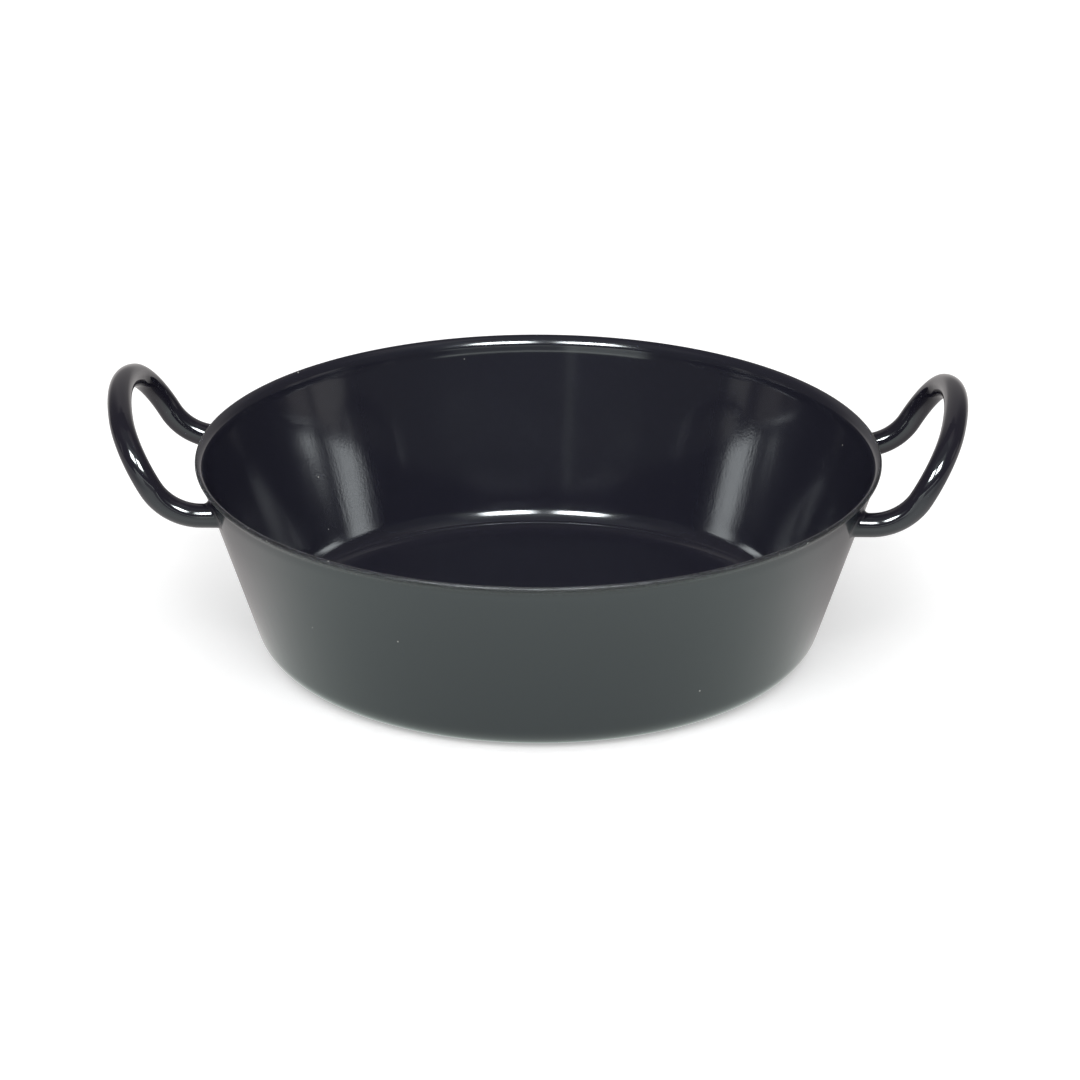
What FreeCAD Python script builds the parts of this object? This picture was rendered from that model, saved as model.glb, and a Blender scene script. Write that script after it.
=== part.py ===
import FreeCAD, Part
import math
import os
import Sketcher
from FreeCAD import Vector

# Two-handled schnitzel pan of enamelled sheet steel, in millimetres and degrees.
# +Z is up, the base rests on z = 0, the pan's axis is Z and the handles lie along -X and +X.

SIZES = [
    # the drawn pan
    ("rim_diameter", 280.0, "outside of the rounded rim edge"),
    ("pan_height", 81.0, "base to the top of the rim edge"),
    ("sheet_thickness", 2.0, "steel with its enamel on both sides"),
    ("corner_radius", 14.0, "outside radius between base and wall"),
    ("wall_angle", 18.0, "lean of the wall from the vertical"),
    ("neck_radius", 28.0, "outside radius of the soft bend from the wall to the steeper neck"),
    ("neck_angle", 10.0, "lean of the neck where the flare begins"),
    ("flare_radius", 4.2, "outside radius of the flared mouth"),
    ("flare_angle", 58.0, "lean of the sheet where the flare ends"),
    # the two bent rods
    ("rod_diameter", 9.8, "rod with its enamel"),
    ("foot_depth", 11.2, "axis of the left handle's feet below the rim"),
    ("right_handle_drop", 1.6, "how much lower the right handle is welded"),
    ("foot_spacing", 86.8, "distance between the axes of a handle's two feet"),
    ("foot_reach", 5.8, "straight stretch of each foot's axis outside the wall"),
    ("foot_bend_radius", 23.0, "axis radius of the upward bend"),
    ("leg_angle", 60.0, "rise of the loop from the horizontal"),
    ("shoulder_radius", 27.4, "axis radius of the loop's two corners"),
    ("crown_half_angle", 22.4, "half of the turn of the loop's gentle crown"),
    ("weld_radius", 2.0, "fillet of weld and enamel round each foot"),
]

doc = FreeCAD.newDocument("schnitzel_pan")
sheet = doc.addObject("Spreadsheet::Sheet", "Sizes")
for row, (name, value, meaning) in enumerate(SIZES, start=1):
    sheet.set("A%d" % row, name)
    sheet.set("B%d" % row, str(value))
    sheet.setAlias("B%d" % row, name)
    sheet.set("C%d" % row, meaning)
doc.recompute()


def size(name):
    return float(sheet.get(name))


# Section of the wall, with radius as x and height as y

def up_wall(lean):
    """Unit vector up the wall where it leans out by this many degrees."""
    return Vector(math.sin(math.radians(lean)), math.cos(math.radians(lean)), 0)


def out_of_wall(lean):
    """Unit vector square to the wall there, towards the outside."""
    return Vector(math.cos(math.radians(lean)), -math.sin(math.radians(lean)), 0)


class WallSection:
    """Points and centres of the outside line, worked down from the rim to the base."""

    def __init__(self):
        self.sheet = size("sheet_thickness")
        self.corner = size("corner_radius")
        self.neck = size("neck_radius")
        self.flare = size("flare_radius")
        self.wall_lean = size("wall_angle")
        self.neck_lean = size("neck_angle")
        self.flare_lean = size("flare_angle")
        edge = self.sheet / 2
        self.edge_centre = Vector(size("rim_diameter") / 2 - edge, size("pan_height") - edge, 0)
        self.flare_end = self.edge_centre + out_of_wall(self.flare_lean) * edge
        self.flare_centre = self.flare_end + out_of_wall(self.flare_lean) * self.flare
        self.flare_start = self.flare_centre - out_of_wall(self.neck_lean) * self.flare
        self.neck_centre = self.flare_start - out_of_wall(self.neck_lean) * self.neck
        self.wall_top = self.neck_centre + out_of_wall(self.wall_lean) * self.neck
        lean = math.radians(self.wall_lean)
        wall_length = (self.wall_top.y - self.corner * (1 - math.sin(lean))) / math.cos(lean)
        self.wall_foot = self.wall_top - up_wall(self.wall_lean) * wall_length
        self.corner_centre = self.wall_foot - out_of_wall(self.wall_lean) * self.corner

    def behind(self, point, lean):
        """The point of the inner surface behind a point of the outer one."""
        return point - out_of_wall(lean) * self.sheet

    def wall_radius(self, height):
        """Outer radius of the straight wall at this height."""
        return self.wall_top.x - (self.wall_top.y - height) * math.tan(math.radians(self.wall_lean))


section = WallSection()


# Sketches

START, END, CENTRE = range(1, 4)
ORIGIN = (-1, START)
BASE, CORNER, WALL, NECK, FLARE, NECK_SPOKE = range(6)


def new_sketch(body, name):
    """A sketch on the body's own XZ plane."""
    sketch = body.newObject("Sketcher::SketchObject", name)
    plane = [f for f in body.Origin.OriginFeatures if f.Role == "XZ_Plane"][0]
    sketch.AttachmentSupport = (plane, "")
    sketch.MapMode = "FlatFace"
    return sketch


def arc(centre, radius, start_deg, end_deg):
    circle = Part.Circle(centre, Vector(0, 0, 1), radius)
    return Part.ArcOfCircle(circle, math.radians(start_deg), math.radians(end_deg))


def constrain(sketch, kind, *places):
    """The same kind of constraint at several places of the sketch."""
    for place in places:
        sketch.addConstraint(Sketcher.Constraint(kind, *place))


def dimension(sketch, name, expression, kind, *args):
    """A named dimension bound to the sheet."""
    index = sketch.addConstraint(Sketcher.Constraint(kind, *args))
    sketch.renameConstraint(index, name)
    sketch.setExpression("Constraints." + name, expression)


def add_spoke(sketch, name, spoke, far_end, far_place, expression, turn):
    """Construction line from the flare's centre to a point that it holds at this turn."""
    sketch.addGeometry(Part.LineSegment(section.flare_centre, far_end), True)
    constrain(sketch, "Coincident", (spoke, START, FLARE, CENTRE), (spoke, END) + far_place)
    dimension(sketch, name, expression, "Angle", spoke, math.radians(turn))


def add_outside_line(sketch):
    """The pan's outside from the middle of the base to the end of the flare."""
    s = section
    sketch.addGeometry([
        Part.LineSegment(Vector(0, 0, 0), Vector(s.corner_centre.x, 0, 0)),
        arc(s.corner_centre, s.corner, -90, -s.wall_lean),
        Part.LineSegment(s.wall_foot, s.wall_top),
        arc(s.neck_centre, s.neck, -s.wall_lean, -s.neck_lean),
        arc(s.flare_centre, s.flare, 180 - s.flare_lean, 180 - s.neck_lean),
    ], False)
    constrain(sketch, "Tangent", (BASE, END, CORNER, START), (CORNER, END, WALL, START),
              (WALL, END, NECK, START), (NECK, END, FLARE, END))
    constrain(sketch, "Coincident", (BASE, START) + ORIGIN)
    constrain(sketch, "Horizontal", (BASE,))
    dimension(sketch, "corner", "Sizes.corner_radius", "Radius", CORNER, s.corner)
    dimension(sketch, "neck", "Sizes.neck_radius", "Radius", NECK, s.neck)
    dimension(sketch, "flare", "Sizes.flare_radius", "Radius", FLARE, s.flare)
    dimension(sketch, "wall_rise", "90 - Sizes.wall_angle", "Angle", WALL, math.radians(90 - s.wall_lean))
    add_spoke(sketch, "neck_turn", NECK_SPOKE, s.flare_start, (FLARE, END),
              "180 - Sizes.neck_angle", 180 - s.neck_lean)


def revolve(body, sketch, name):
    turned = body.newObject("PartDesign::Revolution", name)
    turned.Profile = sketch
    turned.ReferenceAxis = (sketch, ["V_Axis"])
    turned.Angle = 360
    body.Tip = turned


# Pan body: one drawn sheet with a rounded edge, turned from its section

def make_pan_body():
    s = section
    body = doc.addObject("PartDesign::Body", "pan_body")
    body.Label = "pan_body"
    sketch = new_sketch(body, "pan_section")
    add_outside_line(sketch)
    edge, in_flare, in_neck, in_wall, in_corner, in_base, middle, flare_spoke = range(6, 14)
    floor_edge, floor_middle = Vector(s.corner_centre.x, s.sheet, 0), Vector(0, s.sheet, 0)
    sketch.addGeometry([
        arc(s.edge_centre, s.sheet / 2, -s.flare_lean, 180 - s.flare_lean),
        arc(s.flare_centre, s.flare + s.sheet, 180 - s.flare_lean, 180 - s.neck_lean),
        arc(s.neck_centre, s.neck - s.sheet, -s.wall_lean, -s.neck_lean),
        Part.LineSegment(s.behind(s.wall_top, s.wall_lean), s.behind(s.wall_foot, s.wall_lean)),
        arc(s.corner_centre, s.corner - s.sheet, -90, -s.wall_lean),
        Part.LineSegment(floor_edge, floor_middle),
        Part.LineSegment(floor_middle, Vector(0, 0, 0)),
    ], False)
    constrain(sketch, "Tangent", (FLARE, START, edge, START), (edge, END, in_flare, START),
              (in_flare, END, in_neck, END), (in_neck, START, in_wall, START),
              (in_wall, END, in_corner, END), (in_corner, START, in_base, START))
    constrain(sketch, "Coincident", (in_base, END, middle, START), (middle, END, BASE, START),
              (in_flare, CENTRE, FLARE, CENTRE), (in_neck, CENTRE, NECK, CENTRE),
              (in_corner, CENTRE, CORNER, CENTRE))
    constrain(sketch, "Parallel", (in_wall, WALL))
    constrain(sketch, "Horizontal", (in_base,))
    constrain(sketch, "Vertical", (middle,))
    add_spoke(sketch, "flare_turn", flare_spoke, s.edge_centre, (edge, CENTRE),
              "180 - Sizes.flare_angle", 180 - s.flare_lean)
    dimension(sketch, "edge", "Sizes.sheet_thickness / 2", "Radius", edge, s.sheet / 2)
    dimension(sketch, "edge_radius", "(Sizes.rim_diameter - Sizes.sheet_thickness) / 2",
              "DistanceX", *ORIGIN, edge, CENTRE, s.edge_centre.x)
    dimension(sketch, "edge_height", "Sizes.pan_height - Sizes.sheet_thickness / 2",
              "DistanceY", *ORIGIN, edge, CENTRE, s.edge_centre.y)
    revolve(body, sketch, "drawn_sheet")
    return body


# Envelope: the pan's outside filled in, which the handles' feet are cut and welded to

def make_envelope():
    s = section
    body = doc.addObject("PartDesign::Body", "wall_envelope")
    sketch = new_sketch(body, "envelope_section")
    add_outside_line(sketch)
    lid, middle, flare_spoke = range(6, 9)
    lid_middle = Vector(0, s.flare_end.y, 0)
    sketch.addGeometry([
        Part.LineSegment(s.flare_end, lid_middle),
        Part.LineSegment(lid_middle, Vector(0, 0, 0)),
    ], False)
    constrain(sketch, "Coincident", (FLARE, START, lid, START), (lid, END, middle, START),
              (middle, END, BASE, START))
    constrain(sketch, "Horizontal", (lid,))
    constrain(sketch, "Vertical", (middle,))
    add_spoke(sketch, "flare_turn", flare_spoke, s.flare_end, (FLARE, START),
              "180 - Sizes.flare_angle", 180 - s.flare_lean)
    turn = "(Sizes.flare_angle * 1 deg)"
    dimension(sketch, "mouth_radius", "(Sizes.rim_diameter - Sizes.sheet_thickness * (1 - cos%s)) / 2" % turn,
              "DistanceX", *ORIGIN, FLARE, START, s.flare_end.x)
    dimension(sketch, "mouth_height", "Sizes.pan_height - Sizes.sheet_thickness * (1 + sin%s) / 2" % turn,
              "DistanceY", *ORIGIN, FLARE, START, s.flare_end.y)
    revolve(body, sketch, "filled_pan")
    return body


# Handles: round rods bent along a line and arcs that run into each other

def rod_axis(side, height):
    """Axis of a handle's rod; side is -1 for the left handle and +1 for the right one."""
    rise = math.radians(size("leg_angle"))
    crown = math.radians(size("crown_half_angle"))
    bend, shoulder, half = size("foot_bend_radius"), size("shoulder_radius"), size("foot_spacing") / 2
    crown_radius = (half - shoulder * (1 - math.sin(crown))) / math.sin(crown)
    on_wall = Vector(math.sqrt(section.wall_radius(height) ** 2 - half ** 2), -half, height)
    inside_pan = on_wall - Vector(size("rod_diameter"), 0, 0)
    bend_start = on_wall + Vector(size("foot_reach"), 0, 0)
    up_leg, across = Vector(math.cos(rise), 0, math.sin(rise)), Vector(0, 1, 0)

    def on_bend(turn):
        return bend_start + Vector(math.sin(turn), 0, 1 - math.cos(turn)) * bend

    def on_shoulder(turn):
        return on_bend(rise) + (up_leg * math.sin(turn) + across * (1 - math.cos(turn))) * shoulder

    def mirrored(point):
        return Vector(point.x, -point.y, point.z)

    shoulder_turn = math.pi / 2 - crown
    shoulder_end = on_shoulder(shoulder_turn)
    top = Vector(shoulder_end.x, 0, shoulder_end.z) + up_leg * crown_radius * (1 - math.cos(crown))
    near_half = [
        (inside_pan, bend_start),
        (bend_start, on_bend(rise / 2), on_bend(rise)),
        (on_bend(rise), on_shoulder(shoulder_turn / 2), shoulder_end),
    ]
    far_half = [tuple(mirrored(p) for p in reversed(run)) for run in reversed(near_half)]
    edges = []
    for run in near_half + [(shoulder_end, top, mirrored(shoulder_end))] + far_half:
        points = [Vector(p.x * side, p.y, p.z) for p in run]
        curve = Part.LineSegment(*points) if len(points) == 2 else Part.Arc(*points)
        edges.append(curve.toShape())
    return Part.Wire(edges)


def weld_edges(joined, wall, rod):
    """Numbers of the edges of the joined shape where the rod's skin meets the wall's."""
    touching = []
    for number, edge in enumerate(joined.Edges, start=1):
        middle = edge.valueAt((edge.FirstParameter + edge.LastParameter) / 2)
        points = [Part.Vertex(middle)] + [Part.Vertex(v.Point) for v in edge.Vertexes]
        if all(p.distToShape(skin.Shells[0])[0] < 1e-3 for p in points for skin in (wall, rod)):
            touching.append(number)
    return touching


def make_handle(name, side, height, envelope):
    axis = doc.addObject("Part::Feature", name + "_axis")
    axis.Shape = rod_axis(side, height)
    start = axis.Shape.Edges[0].valueAt(axis.Shape.Edges[0].FirstParameter)
    outline = doc.addObject("Part::Circle", name + "_outline")
    outline.setExpression("Radius", "Sizes.rod_diameter / 2")
    seam_down = FreeCAD.Rotation(Vector(0, 0, -1), Vector(0, -side, 0), Vector(side, 0, 0), "ZXY")
    outline.Placement = FreeCAD.Placement(start, seam_down)
    rod = doc.addObject("Part::Sweep", name + "_rod")
    rod.Sections = [outline]
    rod.Spine = (axis, ["Edge%d" % (i + 1) for i in range(len(axis.Shape.Edges))])
    rod.Solid = True
    joined = doc.addObject("Part::MultiFuse", name + "_on_wall")
    joined.Shapes = [envelope, rod]
    doc.recompute()
    welded = doc.addObject("Part::Fillet", name + "_welded")
    welded.Base = joined
    weld = size("weld_radius")
    welded.Edges = [(number, weld, weld) for number in weld_edges(joined.Shape, envelope.Shape, rod.Shape)]
    handle = doc.addObject("Part::Cut", name)
    handle.Label = name
    handle.Base = welded
    handle.Tool = envelope
    return handle


# Build, check and write

pan_body = make_pan_body()
envelope = make_envelope()
doc.recompute()
left_height = size("pan_height") - size("foot_depth")
left_handle = make_handle("left_handle", -1, left_height, envelope)
right_handle = make_handle("right_handle", 1, left_height - size("right_handle_drop"), envelope)
doc.recompute()

for obj in doc.Objects:
    if "Invalid" in obj.State or "Error" in obj.State:
        raise RuntimeError("%s failed: %s" % (obj.Name, obj.State))
    if obj.TypeId == "Sketcher::SketchObject" and not obj.FullyConstrained:
        raise RuntimeError("%s isn't fully constrained" % obj.Name)

os.makedirs("parts", exist_ok=True)
for piece in (pan_body, left_handle, right_handle):
    if piece.Shape.isNull() or not piece.Shape.isValid() or len(piece.Shape.Solids) != 1:
        raise RuntimeError("%s isn't one valid solid" % piece.Label)
    piece.Shape.exportStep("parts/%s.step" % piece.Label)
    print("%s: %.1f cm3" % (piece.Label, piece.Shape.Volume / 1000))
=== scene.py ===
import bmesh
import bpy
import math
from mathutils import Matrix, Vector, noise


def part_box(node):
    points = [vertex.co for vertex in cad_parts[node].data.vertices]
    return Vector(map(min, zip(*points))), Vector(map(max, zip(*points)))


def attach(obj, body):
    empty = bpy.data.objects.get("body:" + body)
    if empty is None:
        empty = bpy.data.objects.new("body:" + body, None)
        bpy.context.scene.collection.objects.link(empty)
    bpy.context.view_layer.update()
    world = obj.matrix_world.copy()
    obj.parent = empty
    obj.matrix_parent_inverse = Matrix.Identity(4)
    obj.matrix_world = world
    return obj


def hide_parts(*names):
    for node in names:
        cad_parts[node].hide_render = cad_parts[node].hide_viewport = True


# Schnitzel pan: one deep-drawn steel shell with two welded rod handles, all in glossy black enamel

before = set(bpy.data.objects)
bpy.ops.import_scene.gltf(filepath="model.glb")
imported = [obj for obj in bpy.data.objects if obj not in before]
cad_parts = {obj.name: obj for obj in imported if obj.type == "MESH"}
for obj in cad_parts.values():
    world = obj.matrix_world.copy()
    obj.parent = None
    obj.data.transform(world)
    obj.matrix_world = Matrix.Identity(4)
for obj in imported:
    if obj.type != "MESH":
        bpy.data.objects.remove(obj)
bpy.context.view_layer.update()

MM = 0.001
TAU = 2 * math.pi


# Node helpers

def new_material(name):
    """A node material; returns it, its tree and its shader."""
    material = bpy.data.materials.new(name)
    material.use_nodes = True
    tree = material.node_tree
    return material, tree, tree.nodes["Principled BSDF"]


def add(tree, kind, inputs=None, **settings):
    """A node with its settings, and with values or links for its inputs."""
    node = tree.nodes.new(kind)
    for key, value in settings.items():
        setattr(node, key, value)
    for key, value in (inputs or {}).items():
        if isinstance(value, bpy.types.NodeSocket):
            tree.links.new(value, node.inputs[key])
        else:
            node.inputs[key].default_value = value
    return node


def math_node(tree, operation, *values):
    """The result of one calculation with one or two values."""
    return add(tree, "ShaderNodeMath", dict(enumerate(values)), operation=operation).outputs[0]


def between(tree, value, low, high, to_low=0.0, to_high=1.0):
    """Smooth step of a value from one range to another."""
    ranged = {"Value": value, "From Min": low, "From Max": high, "To Min": to_low, "To Max": to_high}
    return add(tree, "ShaderNodeMapRange", ranged, interpolation_type="SMOOTHSTEP").outputs["Result"]


def mix_values(tree, share, first, second):
    """A number that goes from the first to the second as the share rises."""
    return add(tree, "ShaderNodeMix", {"Factor": share, "A": first, "B": second}).outputs["Result"]


def mix_tones(tree, share, first, second):
    """A colour that goes from the first to the second as the share rises."""
    tones = {"Factor": share, "A": first, "B": second}
    return add(tree, "ShaderNodeMix", tones, data_type="RGBA").outputs["Result"]


def object_place(tree):
    """The shaded point of the object, in metres."""
    return add(tree, "ShaderNodeTexCoord").outputs["Object"]


def place_parts(tree):
    """The shaded point's X, Y and Z."""
    return add(tree, "ShaderNodeSeparateXYZ", {"Vector": object_place(tree)}).outputs


def off_axis(tree, parts):
    """Flat vector from the pan's axis to the shaded point."""
    return add(tree, "ShaderNodeCombineXYZ", {"X": parts["X"], "Y": parts["Y"]}).outputs[0]


def wall_mask(tree, height, foot, neck):
    """One on the wall, fading to nothing down over the foot span and up over the neck span."""
    above_foot = between(tree, height, *foot)
    below_neck = between(tree, height, *neck, 1.0, 0.0)
    return math_node(tree, "MULTIPLY", above_foot, below_neck)


def mottle(tree, place, values):
    """Noise at a place, with its scale per metre, its detail and the like."""
    return add(tree, "ShaderNodeTexNoise", {"Vector": place, **values}).outputs["Fac"]


def vertex_value(tree, name):
    """A value that the vertices of the mesh carry."""
    return add(tree, "ShaderNodeAttribute", attribute_name=name).outputs["Fac"]


def seen_directly(tree):
    """One for what the camera, the gloss and clear surfaces see, nothing for matt light."""
    path = add(tree, "ShaderNodeLightPath")
    seen = math_node(tree, "MAXIMUM", path.outputs["Is Camera Ray"], path.outputs["Is Glossy Ray"])
    return math_node(tree, "MAXIMUM", seen, path.outputs["Is Transmission Ray"])


def new_group(name, inputs, result):
    """A node group of numbers with one result; returns it, its inputs and its last node."""
    group = bpy.data.node_groups.new(name, "ShaderNodeTree")
    for socket in inputs:
        group.interface.new_socket(socket, in_out="INPUT", socket_type="NodeSocketFloat")
    group.interface.new_socket(result, in_out="OUTPUT", socket_type="NodeSocketFloat")
    given = group.nodes.new("NodeGroupInput")
    return group, given.outputs, group.nodes.new("NodeGroupOutput")


def place_group(tree, group, inputs):
    """The result of a node group with its own values."""
    return add(tree, "ShaderNodeGroup", inputs, node_tree=group).outputs[0]


# Mesh helpers

def join_rings(form, rings, count):
    """Smooth faces between neighbouring rings of so many vertices, or of one on the axis."""
    for lower, upper in zip(rings, rings[1:]):
        for step in range(count):
            after = (step + 1) % count
            corners = (lower[step % len(lower)], lower[after % len(lower)],
                       upper[after % len(upper)], upper[step % len(upper)])
            form.faces.new(list(dict.fromkeys(corners))).smooth = True


def make_object(name, form):
    """An object in the scene with the form as its mesh."""
    mesh = bpy.data.meshes.new(name)
    form.to_mesh(mesh)
    form.free()
    made = bpy.data.objects.new(name, mesh)
    bpy.context.scene.collection.objects.link(made)
    return made


# Enamel: colours, roughnesses and levels of noise

ENAMEL_IOR = 1.55
OUTSIDE_TONE = (0.0134, 0.0165, 0.0208, 1)
# The inside tone sits a little above the enamel's own, as painted light that makes up for the shade inside
# the pan.
INSIDE_TONE_WITH_PAINTED_LIGHT = (0.0144, 0.0144, 0.0224, 1)
# Darker tone for the worn rim edge and the flare under it: partly wear, partly painted shade under the rim.
WORN_EDGE_AND_RIM_SHADE_TONE = (0.008, 0.008, 0.010, 1)
# Light grey chips on the rim: partly chipped enamel, partly painted glints.
CHIP_AND_GLINT_TONE = (0.4, 0.4, 0.38, 1)
DUST_TONE = (0.3, 0.3, 0.28, 1)
ROD_DEEP_TONE = (0.0105, 0.0098, 0.0158, 1)
ROD_PALE_TONE = (0.0125, 0.0115, 0.0182, 1)
SHELL_ROUGHNESS = 0.092
WORN_ROUGHNESS = (0.34, 0.76)
ROD_ROUGHNESS = 0.045
SMEAR_ROUGHNESS = 0.04
SMEAR_LEVELS = (0.45, 0.75)
WORN_LEVELS = (0.38, 0.54)
CHIP_AND_GLINT_LEVELS = (0.56, 0.62)

# Specks: cells per metre, the share of them that has a speck, and its largest radius in cells

SHELL_DUST = {"Density": 230.0, "Share": 0.035, "Radius": 0.1}
ROD_DUST = {"Density": 200.0, "Share": 0.015, "Radius": 0.06}
CHIPS_AND_GLINTS = {"Density": 900.0, "Share": 0.12, "Radius": 0.5}

# Relief of the enamel: heights and places in metres. The climb is how much a streak changes in a metre
# up the wall, where it changes by 1 in a radian round it.

SHELL_SWELL = 0.00003
BASE_GRAIN = 0.000002
WALL_GRAIN = 0.000017
EDGE_GRAIN = 0.00002
ROD_RELIEF = {"Swell Height": 0.00004, "Grain Height": 0.000004}
STREAKS = {"Coarse Height": 0.00004, "Fine Height": 0.00001}
STREAK_CLIMB = 1.2
CREASE = {"Radius": 0.1103, "Width": 0.0006, "Depth": 0.00017}

# Heights up the shell, in metres, over which an effect starts or ends

GRAIN_FOOT = (0.010, 0.020)
GRAIN_NECK = (0.058, 0.069)
STREAK_FOOT = (0.006, 0.022)
STREAK_NECK = (0.060, 0.070)
CREASE_TOP = (0.009, 0.011)


# Effects of the enamel, each built once

def make_orange_peel():
    """Slow and fine unevenness that enamel keeps from flowing in the kiln, as a height in metres."""
    group, given, end = new_group("orange peel", ("Swell Height", "Grain Height"), "Height")
    place = object_place(group)
    swell = mottle(group, place, {"Scale": 38.0, "Detail": 1.0})
    grain = mottle(group, place, {"Scale": 850.0, "Detail": 2.0})
    swell_height = math_node(group, "MULTIPLY", swell, given["Swell Height"])
    grain_height = math_node(group, "MULTIPLY", grain, given["Grain Height"])
    group.links.new(math_node(group, "ADD", swell_height, grain_height), end.inputs["Height"])
    return group


def make_specks():
    """Sparse specks of dust or chips, as a mask."""
    group, given, end = new_group("specks", ("Density", "Share", "Radius"), "Mask")
    cells = add(group, "ShaderNodeTexVoronoi", {"Vector": object_place(group), "Scale": given["Density"]})
    drawn = add(group, "ShaderNodeSeparateColor", {"Color": cells.outputs["Color"]}).outputs
    chosen = math_node(group, "LESS_THAN", drawn["Red"], given["Share"])
    own_radius = math_node(group, "MULTIPLY", drawn["Green"], given["Radius"])
    near = math_node(group, "LESS_THAN", cells.outputs["Distance"], own_radius)
    group.links.new(math_node(group, "MULTIPLY", chosen, near), end.inputs["Mask"])
    return group


def make_handling_smears():
    """Faint smears and dust film from handling, as a roughness above a plain value."""
    group, given, end = new_group("handling smears", ("Roughness", "Spread"), "Roughness")
    smear = mottle(group, object_place(group),
                   {"Scale": 16.0, "Detail": 5.0, "Roughness": 0.65, "Distortion": 0.6})
    patch = between(group, smear, *SMEAR_LEVELS)
    more = math_node(group, "MULTIPLY", patch, given["Spread"])
    group.links.new(math_node(group, "ADD", more, given["Roughness"]), end.inputs["Roughness"])
    return group


def make_drawn_streaks():
    """Fine lines that deep drawing leaves up the wall and that the enamel still shows, as a height."""
    group, given, end = new_group("drawn streaks", ("Coarse Height", "Fine Height"), "Height")
    parts = place_parts(group)
    flat = off_axis(group, parts)
    around = add(group, "ShaderNodeVectorMath", {0: flat}, operation="NORMALIZE").outputs[0]
    climb = math_node(group, "MULTIPLY", parts["Z"], STREAK_CLIMB)
    rise = add(group, "ShaderNodeCombineXYZ", {"Z": climb}).outputs[0]
    along = add(group, "ShaderNodeVectorMath", {0: around, 1: rise}, operation="ADD").outputs[0]
    coarse = mottle(group, along, {"Scale": 12.0, "Detail": 2.0})
    fine = mottle(group, along, {"Scale": 90.0, "Detail": 3.0})
    coarse_height = math_node(group, "MULTIPLY", coarse, given["Coarse Height"])
    fine_height = math_node(group, "MULTIPLY", fine, given["Fine Height"])
    both = math_node(group, "ADD", coarse_height, fine_height)
    on_wall = wall_mask(group, parts["Z"], STREAK_FOOT, STREAK_NECK)
    group.links.new(math_node(group, "MULTIPLY", both, on_wall), end.inputs["Height"])
    return group


def make_corner_crease():
    """The line that the punch's edge leaves round the inside of the corner, as a height."""
    group, given, end = new_group("corner crease", ("Radius", "Width", "Depth"), "Height")
    parts = place_parts(group)
    flat = off_axis(group, parts)
    out = add(group, "ShaderNodeVectorMath", {0: flat}, operation="LENGTH").outputs["Value"]
    off = math_node(group, "ABSOLUTE", math_node(group, "SUBTRACT", out, given["Radius"]))
    ridge = between(group, math_node(group, "DIVIDE", off, given["Width"]), 0.0, 1.0, 1.0, 0.0)
    in_corner = between(group, parts["Z"], *CREASE_TOP, 1.0, 0.0)
    in_place = math_node(group, "MULTIPLY", ridge, in_corner)
    group.links.new(math_node(group, "MULTIPLY", in_place, given["Depth"]), end.inputs["Height"])
    return group


orange_peel = make_orange_peel()
specks = make_specks()
handling_smears = make_handling_smears()
drawn_streaks = make_drawn_streaks()
corner_crease = make_corner_crease()


# Materials of the shell and the rods

def finish_enamel(tree, shader, tone, height, roughness, dust):
    """Puts colour with dust, roughness with smears, and relief on an enamel shader."""
    dusty = mix_tones(tree, place_group(tree, specks, dust), tone, DUST_TONE)
    smeared = place_group(tree, handling_smears, {"Roughness": roughness, "Spread": SMEAR_ROUGHNESS})
    bump = add(tree, "ShaderNodeBump", {"Height": height, "Distance": 1.0, "Strength": 1.0})
    tree.links.new(dusty, shader.inputs["Base Color"])
    tree.links.new(smeared, shader.inputs["Roughness"])
    tree.links.new(bump.outputs["Normal"], shader.inputs["Normal"])
    shader.inputs["IOR"].default_value = ENAMEL_IOR


def shell_tone(tree, inside, edge):
    """Blue-black inside, raised a little there as painted light against the shade inside the pan, and a
    little greener outside; darker on the worn edge and the flare under the rim, partly painted shade; light
    chips in clusters, partly painted glints.
    """
    # The inside's raised tone is painted light against its shade.
    sound = mix_tones(tree, inside, OUTSIDE_TONE, INSIDE_TONE_WITH_PAINTED_LIGHT)
    # Darker on the rim edge and under it: partly wear, partly painted shade.
    rim_and_underside = mix_tones(tree, edge, sound, WORN_EDGE_AND_RIM_SHADE_TONE)
    # Light spots in clusters on the edge: partly chips, partly painted glints.
    spots = place_group(tree, specks, CHIPS_AND_GLINTS)
    clusters = between(tree, mottle(tree, object_place(tree), {"Scale": 13.0, "Detail": 1.0}), *CHIP_AND_GLINT_LEVELS)
    chips_and_glints = math_node(tree, "MULTIPLY", math_node(tree, "MULTIPLY", spots, clusters), edge)
    return mix_tones(tree, chips_and_glints, rim_and_underside, CHIP_AND_GLINT_TONE)


def shell_relief(tree, inside, edge):
    """Orange peel with its grain on the wall and the edge, drawn streaks, and the crease inside."""
    on_wall = wall_mask(tree, place_parts(tree)["Z"], GRAIN_FOOT, GRAIN_NECK)
    flat_grain = between(tree, on_wall, 0.0, 1.0, BASE_GRAIN, WALL_GRAIN)
    grain = mix_values(tree, edge, flat_grain, EDGE_GRAIN)
    peel = place_group(tree, orange_peel, {"Swell Height": SHELL_SWELL, "Grain Height": grain})
    streaks = place_group(tree, drawn_streaks, STREAKS)
    crease = math_node(tree, "MULTIPLY", place_group(tree, corner_crease, CREASE), inside)
    return math_node(tree, "ADD", math_node(tree, "ADD", peel, streaks), crease)


def shell_roughness(tree, edge):
    """Glossy, and dull in fine grains where the edge is worn."""
    grains = mottle(tree, object_place(tree), {"Scale": 2200.0, "Detail": 1.0})
    rim_and_underside = between(tree, grains, *WORN_LEVELS, *WORN_ROUGHNESS)
    return mix_values(tree, edge, SHELL_ROUGHNESS, rim_and_underside)


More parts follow.
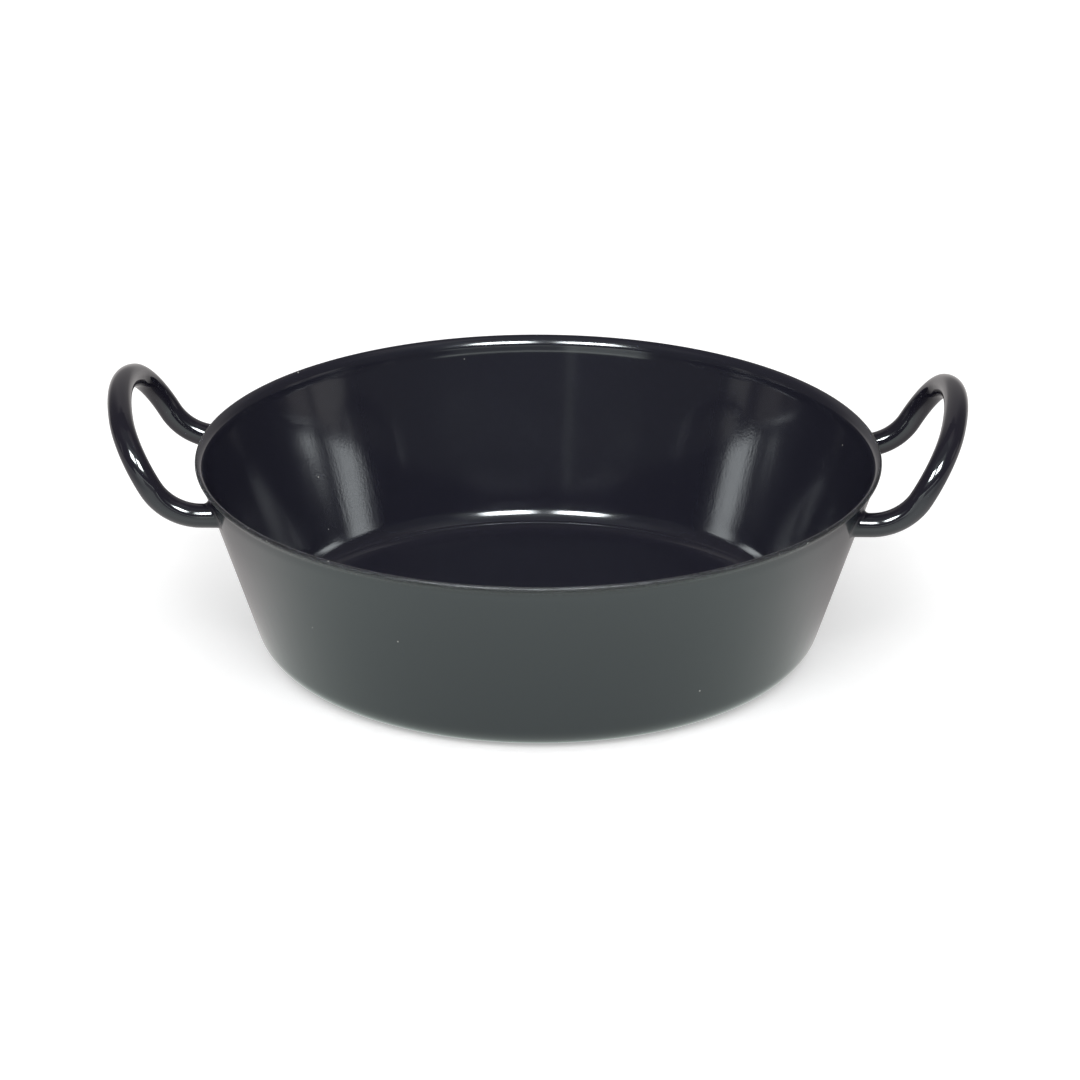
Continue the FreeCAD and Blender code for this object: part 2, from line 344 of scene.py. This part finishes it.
def make_shell_enamel():
    """Enamel on the drawn shell."""
    material, tree, shader = new_material("enamel_on_shell")
    inside = vertex_value(tree, "inside")
    # The edge mask also covers the flare under the rim, where its darker tone is painted shade.
    edge = vertex_value(tree, "edge")
    tone = shell_tone(tree, inside, edge)
    relief = shell_relief(tree, inside, edge)
    finish_enamel(tree, shader, tone, relief, shell_roughness(tree, edge), SHELL_DUST)
    return material


def make_rod_enamel():
    """Enamel on the bent rods and their welds."""
    material, tree, shader = new_material("enamel_on_rod")
    cloud = mottle(tree, object_place(tree), {"Scale": 22.0, "Detail": 2.0})
    tone = mix_tones(tree, cloud, ROD_DEEP_TONE, ROD_PALE_TONE)
    relief = place_group(tree, orange_peel, ROD_RELIEF)
    finish_enamel(tree, shader, tone, relief, ROD_ROUGHNESS, ROD_DUST)
    return material


# The drawn shell, in millimetres and degrees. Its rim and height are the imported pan's, to the hundredth.

pan_low, pan_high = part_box("pan_body")
RIM_RADIUS = round(min(-pan_low.x, -pan_low.y, pan_high.x, pan_high.y) / MM, 2)
PAN_HEIGHT = round(pan_high.z / MM, 2)
SHEET = 2.0
CORNER_RADIUS = 14.0
WALL_LEAN = 18.0
NECK_RADIUS = 28.0
NECK_LEAN = 10.0
FLARE_RADIUS = 4.2
FLARE_LEAN = 58.0

# Steps along the outline's stretches, and round it

UNDERSIDE_STEPS = 12
CORNER_STEPS = 14
WALL_STEPS = 22
NECK_STEPS = 5
FLARE_STEPS = 9
EDGE_STEPS = 14
BOTTOM_STEPS = 24
TURNS = 384

# Waviness of the drawn sheet: how much, how fine, and where up the wall it is free to stand off

SHEET_WAVE = 0.09
SHEET_WAVE_SCALE = 0.022
WAVE_FROM = 12
WAVE_TO = 74
WAVE_FADE = 14


def out_of_wall(lean):
    """Unit vector square to the wall there, towards the outside, as radius and height."""
    return Vector((math.cos(math.radians(lean)), -math.sin(math.radians(lean))))


def bend(centre, radius, start, end, steps):
    """Points of an arc about the centre, from one lean to another."""
    leans = [start + (end - start) * i / steps for i in range(steps + 1)]
    return [centre + out_of_wall(lean) * radius for lean in leans]


def run(start, end, steps):
    """Points between two ends, without the ends."""
    return [start.lerp(end, i / steps) for i in range(1, steps)]


def shell_outline():
    """Points from the middle of the underside out, up, over the rim and back along the inside."""
    edge = SHEET / 2
    edge_centre = Vector((RIM_RADIUS - edge, PAN_HEIGHT - edge))
    flare_centre = edge_centre + out_of_wall(FLARE_LEAN) * (edge + FLARE_RADIUS)
    neck_centre = flare_centre - out_of_wall(NECK_LEAN) * (FLARE_RADIUS + NECK_RADIUS)
    wall_top = neck_centre + out_of_wall(WALL_LEAN) * NECK_RADIUS
    lean = math.radians(WALL_LEAN)
    wall_length = (wall_top.y - CORNER_RADIUS * (1 - math.sin(lean))) / math.cos(lean)
    up = Vector((math.sin(lean), math.cos(lean)))
    corner_centre = wall_top - up * wall_length - out_of_wall(WALL_LEAN) * CORNER_RADIUS
    middle = Vector((0.0, 0.0))
    raised = Vector((0.0, SHEET))
    outside = [middle] + run(middle, Vector((corner_centre.x, 0)), UNDERSIDE_STEPS)
    outside += bend(corner_centre, CORNER_RADIUS, 90, WALL_LEAN, CORNER_STEPS)
    outside += run(outside[-1], wall_top, WALL_STEPS)
    outside += bend(neck_centre, NECK_RADIUS, WALL_LEAN, NECK_LEAN, NECK_STEPS)
    outside += bend(flare_centre, -FLARE_RADIUS, NECK_LEAN, FLARE_LEAN, FLARE_STEPS)[1:]
    rim = bend(edge_centre, edge, FLARE_LEAN, FLARE_LEAN - 180, EDGE_STEPS)[1:-1]
    inside = bend(flare_centre, -FLARE_RADIUS - SHEET, FLARE_LEAN, NECK_LEAN, FLARE_STEPS)
    inside += bend(neck_centre, NECK_RADIUS - SHEET, NECK_LEAN, WALL_LEAN, NECK_STEPS)[1:]
    corner_in = bend(corner_centre, CORNER_RADIUS - SHEET, WALL_LEAN, 90, CORNER_STEPS)
    inside += run(inside[-1], corner_in[0], WALL_STEPS) + corner_in
    inside += run(inside[-1], raised, BOTTOM_STEPS) + [raised]
    return outside, rim, inside


def outline_with_sides():
    """Each outline point, with how far inside it is and how far on the worn rim edge and the flare under
    it, from 0 to 1.
    """
    outside, rim, inside = shell_outline()
    over_rim = [(i + 1) / (len(rim) + 1) for i in range(len(rim))]
    side = [0.0] * len(outside) + over_rim + [1.0] * len(inside)
    # The flare under the rim ramps into the edge's mask, so that it takes the darker tone as painted shade.
    rim_and_underside = [0.0] * (len(outside) - FLARE_STEPS) + [i / FLARE_STEPS for i in range(1, FLARE_STEPS + 1)]
    rim_and_underside += [min(2 * (1 - share), 1.0) for share in over_rim] + [0.0] * len(inside)
    return zip(outside + rim + inside, side, rim_and_underside)


def sheet_wave(place, height):
    """How far the drawn sheet stands off its true form there, in mm: nothing at the rim and the base."""
    above_base = min(max((height - WAVE_FROM) / WAVE_FADE, 0), 1)
    below_rim = min(max((WAVE_TO - height) / WAVE_FADE, 0), 1)
    return above_base * below_rim * SHEET_WAVE * noise.noise(place * SHEET_WAVE_SCALE)


def ring_places(point):
    """Places in metres that an outline point takes round the axis, or its one place on the axis."""
    for step in range(1 if point.x == 0 else TURNS):
        angle = TAU * step / TURNS
        outwards = Vector((math.cos(angle), math.sin(angle), 0))
        place = outwards * point.x + Vector((0, 0, point.y))
        yield (place + outwards * sheet_wave(place, point.y)) * MM


def make_shell():
    """The drawn sheet, in place of the pan's solid."""
    form = bmesh.new()
    inside_layer = form.verts.layers.float.new("inside")
    edge_layer = form.verts.layers.float.new("edge")
    rings = []
    for point, share, rim_and_underside in outline_with_sides():
        ring = [form.verts.new(place) for place in ring_places(point)]
        for vertex in ring:
            vertex[inside_layer] = share
            vertex[edge_layer] = rim_and_underside
        rings.append(ring)
    join_rings(form, rings, TURNS)
    bmesh.ops.recalc_face_normals(form, faces=form.faces)
    shell = make_object("pan_shell", form)
    shell.data.materials.append(make_shell_enamel())
    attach(shell, "root")
    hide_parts("pan_body")


def finish_handles():
    """Enamel on the solids of both rod handles."""
    enamel = make_rod_enamel()
    for name in ("left_handle", "right_handle"):
        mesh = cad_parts[name].data
        mesh.materials.clear()
        mesh.materials.append(enamel)


# The room that the enamel mirrors: a dome on the floor, in metres

ROOM_RADIUS = 1.33
ROOM_FLOOR_FROM = 0.106
ROOM_LIFT = 0.0006
ROOM_TURNS = 360
ROOM_FLOOR_RINGS = 24
ROOM_WALL_RINGS = 92

# Its light. A span is from, to and softness: turns in degrees from -Y towards +X, tilts in degrees
# upwards, and reaches in metres from the pan's axis.

DARK_WALL = 0.11
WALL_LIGHTS = [
    # span of turn, span of tilt, radiance: first the two windows, the wall about them and their sill
    ((-23.5, -16, 12), (35.5, 47, 2.5), 70.0),
    ((11.5, 20.5, 11.5), (35.5, 47, 2.5), 68.0),
    ((-34, 34, 12), (31, 56, 8), 0.6),
    ((-33, 33, 8), (11.3, 12.8, 0.8), 2.4),
    # pale things under the left and the right window
    ((-34, -13, 8), (-5, 11, 1), 1.2),
    ((-6.5, 28, 8), (-5, 10, 1), 0.3),
    # the ceiling, at the right and over the pan
    ((60, 115, 15), (64, 80, 6), 0.2),
    ((-60, 70, 40), (55, 90, 15), 0.17),
    # narrow pale things low at the right and the left
    ((79, 89, 4), (8, 15, 4), 0.5),
    ((95, 100, 4), (6, 13, 4), 0.3),
    ((-80, -75, 3), (8, 18, 6), 0.4),
    ((-95, -89, 4), (7, 13, 4), 0.2),
    # a thin post between the windows
    ((-12, -10, 1.5), (-5, 29, 3), 0.25),
]
BACKDROP = 0.28
BACKDROP_TURN = (160, 180, 40)
BACKDROP_TILT = (0, 54, 7)
BACKDROP_FOOT = 0.3
BACKDROP_FOOT_TILT = (-8, 1, 15)
BACKDROP_LEFT = 0.3

FAR_FLOOR_FRONT = 1.1
FAR_FLOOR_SIDE = 0.6
FAR_FLOOR_BACK = 0.72
FAR_FRONT_TURN = (0, 25, 40)
FAR_BACK_TURN = (150, 180, 30)
NEAR_FLOOR = 1.12
NEAR_REACH = (0, 0.2, 0.2)
SIDE_SHADE = 0.08
BACK_SHADE = 0.52
BACK_SHADE_TURN = (112, 180, 42)
RIGHT_SHADE = 0.1
RIGHT_SHADE_TURN = (100, 150, 30)
CONTACT_SHADE = 0.25
CONTACT_REACH = (0, 0.112, 0.03)
FRONT_GLOW = 0.3
FRONT_GLOW_TURN = (0, 40, 50)
FRONT_GLOW_REACH = (0.21, 0.3, 0.055)

SIDE_TINT = (1.04, 1.0, 0.99, 1)
FRONT_TINT = (0.9, 1.0, 0.95, 1)
WINDOW_TINT = (0.94, 1.0, 1.02, 1)
FRONT_TINT_TURN = (0, 40, 65)
WINDOW_LEVELS = (3.0, 12.0)


def soft_span(value, low, high, soft):
    """One inside the span, falling smoothly to nothing over the soft width outside it."""
    off = max(low - value, value - high, 0.0) / soft
    return 0.0 if off >= 1 else 0.5 + 0.5 * math.cos(math.pi * off)


def wall_radiance(turn, tilt):
    """The walls: dark, with windows, pale things and, behind the pan, a grey backdrop."""
    radiance = DARK_WALL
    for turns, tilts, strength in WALL_LIGHTS:
        radiance += strength * soft_span(turn, *turns) * soft_span(tilt, *tilts)
    behind = soft_span(abs(turn), *BACKDROP_TURN) * (1 - BACKDROP_LEFT * math.sin(math.radians(turn)))
    radiance += behind * BACKDROP * soft_span(tilt, *BACKDROP_TILT)
    radiance += behind * BACKDROP_FOOT * soft_span(tilt, *BACKDROP_FOOT_TILT)
    return radiance


def floor_radiance(turn, reach):
    """The floor: bright in front of the pan, shaded behind it and duller further off."""
    aside = abs(turn)
    front = (FAR_FLOOR_FRONT - FAR_FLOOR_SIDE) * soft_span(aside, *FAR_FRONT_TURN)
    back = (FAR_FLOOR_BACK - FAR_FLOOR_SIDE) * soft_span(aside, *FAR_BACK_TURN)
    far = FAR_FLOOR_SIDE + front + back
    near = NEAR_FLOOR - SIDE_SHADE * min(aside / 90, 1) - BACK_SHADE * soft_span(aside, *BACK_SHADE_TURN)
    near += FRONT_GLOW * soft_span(aside, *FRONT_GLOW_TURN) * soft_span(reach, *FRONT_GLOW_REACH)
    near -= CONTACT_SHADE * soft_span(reach, *CONTACT_REACH)
    near -= RIGHT_SHADE * soft_span(turn, *RIGHT_SHADE_TURN)
    return far + (near - far) * soft_span(reach, *NEAR_REACH)


def room_rings():
    """Each ring's distance, height, rule for its light and reach or tilt: out on the floor, then up."""
    for step in range(ROOM_FLOOR_RINGS):
        reach = ROOM_FLOOR_FROM + (ROOM_RADIUS - ROOM_FLOOR_FROM) * step / ROOM_FLOOR_RINGS
        yield reach, ROOM_LIFT, floor_radiance, reach
    for step in range(ROOM_WALL_RINGS + 1):
        tilt = 90 * step / ROOM_WALL_RINGS
        lean = math.radians(tilt)
        yield ROOM_RADIUS * math.cos(lean), ROOM_RADIUS * math.sin(lean) + ROOM_LIFT, wall_radiance, tilt


def make_room_glow():
    """The room's own light, a little green in front and neutral aside, with cool windows."""
    material, tree, shader = new_material("room_glow")
    level = vertex_value(tree, "radiance")
    dull = mix_tones(tree, vertex_value(tree, "green_cast"), SIDE_TINT, FRONT_TINT)
    tint = mix_tones(tree, between(tree, level, *WINDOW_LEVELS), dull, WINDOW_TINT)
    glow = add(tree, "ShaderNodeEmission", {"Color": tint, "Strength": level})
    tree.links.new(glow.outputs[0], tree.nodes["Material Output"].inputs["Surface"])
    tree.nodes.remove(shader)
    material.cycles.emission_sampling = "NONE"
    return material


def hide_from(obj, *rays):
    """Keeps an object out of sight of such rays."""
    for ray in rays:
        setattr(obj, "visible_" + ray, False)


def make_room():
    """Room that only the gloss sees, so that the enamel does not mirror the white surround."""
    form = bmesh.new()
    radiance_layer = form.verts.layers.float.new("radiance")
    cast_layer = form.verts.layers.float.new("green_cast")
    rings = []
    for distance, height, radiance, reach in room_rings():
        ring = []
        for column in range(ROOM_TURNS):
            turn = -180 + 360 * column / ROOM_TURNS
            angle = math.radians(turn)
            vertex = form.verts.new((math.sin(angle) * distance, -math.cos(angle) * distance, height))
            vertex[radiance_layer] = radiance(turn, reach)
            vertex[cast_layer] = soft_span(abs(turn), *FRONT_TINT_TURN)
            ring.append(vertex)
        rings.append(ring)
    join_rings(form, rings, ROOM_TURNS)
    room = make_object("studio_room", form)
    room.data.materials.append(make_room_glow())
    hide_from(room, "camera", "diffuse", "transmission", "volume_scatter", "shadow")


# Floor, world, lamps and camera, in metres and degrees

WHITE = (1, 1, 1, 1)
FLOOR_RADIUS = 12.0
FLOOR_SIDES = 96
FLOOR_DROP = 0.0001
FLOOR_TONE = (0.86, 0.86, 0.86, 1)
FLOOR_LIFT = 0.34
WORLD_ON_MATT = 0.66

LAMP_SPREAD = 28
LAMP_DISTANCE = 3.0
LAMP_STRENGTH = 0.9
LAMP_TILT = 44
LEFT_LAMP_TURN = -24
RIGHT_LAMP_TURN = 18

CAMERA_TILT = 22.781
CAMERA_TURN = 1.05
CAMERA_ROLL = 0.096
CAMERA_DISTANCE = 1.9
CAMERA_AIM = (0.00072, 0, 0.04225)
SENSOR_MM = 36.0
LENS_MM = 153.96


def make_floor():
    """Plain pale floor, lifted to white where it is seen directly, with the pan's shadow left on it."""
    form = bmesh.new()
    bmesh.ops.create_circle(form, cap_ends=True, segments=FLOOR_SIDES, radius=FLOOR_RADIUS)
    floor = make_object("floor", form)
    floor.location.z = -FLOOR_DROP
    material, tree, shader = new_material("pale_floor")
    shader.inputs["Base Color"].default_value = FLOOR_TONE
    shader.inputs["Roughness"].default_value = 1.0
    shader.inputs["Specular IOR Level"].default_value = 0.0
    shader.inputs["Emission Color"].default_value = WHITE
    lift = math_node(tree, "MULTIPLY", seen_directly(tree), FLOOR_LIFT)
    tree.links.new(lift, shader.inputs["Emission Strength"])
    floor.data.materials.append(material)


def make_world():
    """White to the eye and in the gloss, and a plain soft level on matt surfaces."""
    world = bpy.data.worlds.new("studio")
    bpy.context.scene.world = world
    world.use_nodes = True
    tree = world.node_tree
    levels = {"Value": seen_directly(tree), "To Min": WORLD_ON_MATT, "To Max": 1.0}
    strength = add(tree, "ShaderNodeMapRange", levels)
    ground = tree.nodes["Background"]
    ground.inputs["Color"].default_value = WHITE
    tree.links.new(strength.outputs["Result"], ground.inputs["Strength"])


def make_lamp(name, turn):
    """Broad daylight from a window for the matt side of things; the gloss has the room."""
    lamp = bpy.data.lights.new(name, "SUN")
    lamp.angle = math.radians(LAMP_SPREAD)
    lamp.energy = LAMP_STRENGTH
    holder = bpy.data.objects.new(name, lamp)
    lean = math.radians(LAMP_TILT)
    angle = math.radians(turn)
    away = Vector((math.sin(angle) * math.cos(lean), -math.cos(angle) * math.cos(lean), math.sin(lean)))
    holder.location = away * LAMP_DISTANCE
    holder.rotation_euler = away.to_track_quat("Z", "Y").to_euler()
    bpy.context.scene.collection.objects.link(holder)
    hide_from(holder, "glossy", "camera")


def make_camera():
    """Camera at the photo's viewing angle, aimed near the pan's middle."""
    data = bpy.data.cameras.new("camera")
    data.sensor_width = SENSOR_MM
    data.lens = LENS_MM
    camera = bpy.data.objects.new("camera", data)
    tilt = math.radians(CAMERA_TILT)
    around = Matrix.Rotation(math.radians(CAMERA_TURN), 4, "Z")
    offset = around @ Vector((0, -math.cos(tilt), math.sin(tilt))) * CAMERA_DISTANCE
    target = around @ Vector(CAMERA_AIM)
    look = (-offset).to_track_quat("-Z", "Y").to_matrix().to_4x4()
    roll = Matrix.Rotation(math.radians(CAMERA_ROLL), 4, "Z")
    camera.matrix_world = Matrix.Translation(target + offset) @ look @ roll
    bpy.context.scene.collection.objects.link(camera)
    bpy.context.scene.camera = camera


make_shell()
finish_handles()
make_floor()
make_room()
make_world()
make_lamp("left_window_light", LEFT_LAMP_TURN)
make_lamp("right_window_light", RIGHT_LAMP_TURN)
make_camera()
bpy.context.scene.view_settings.view_transform = "Standard"
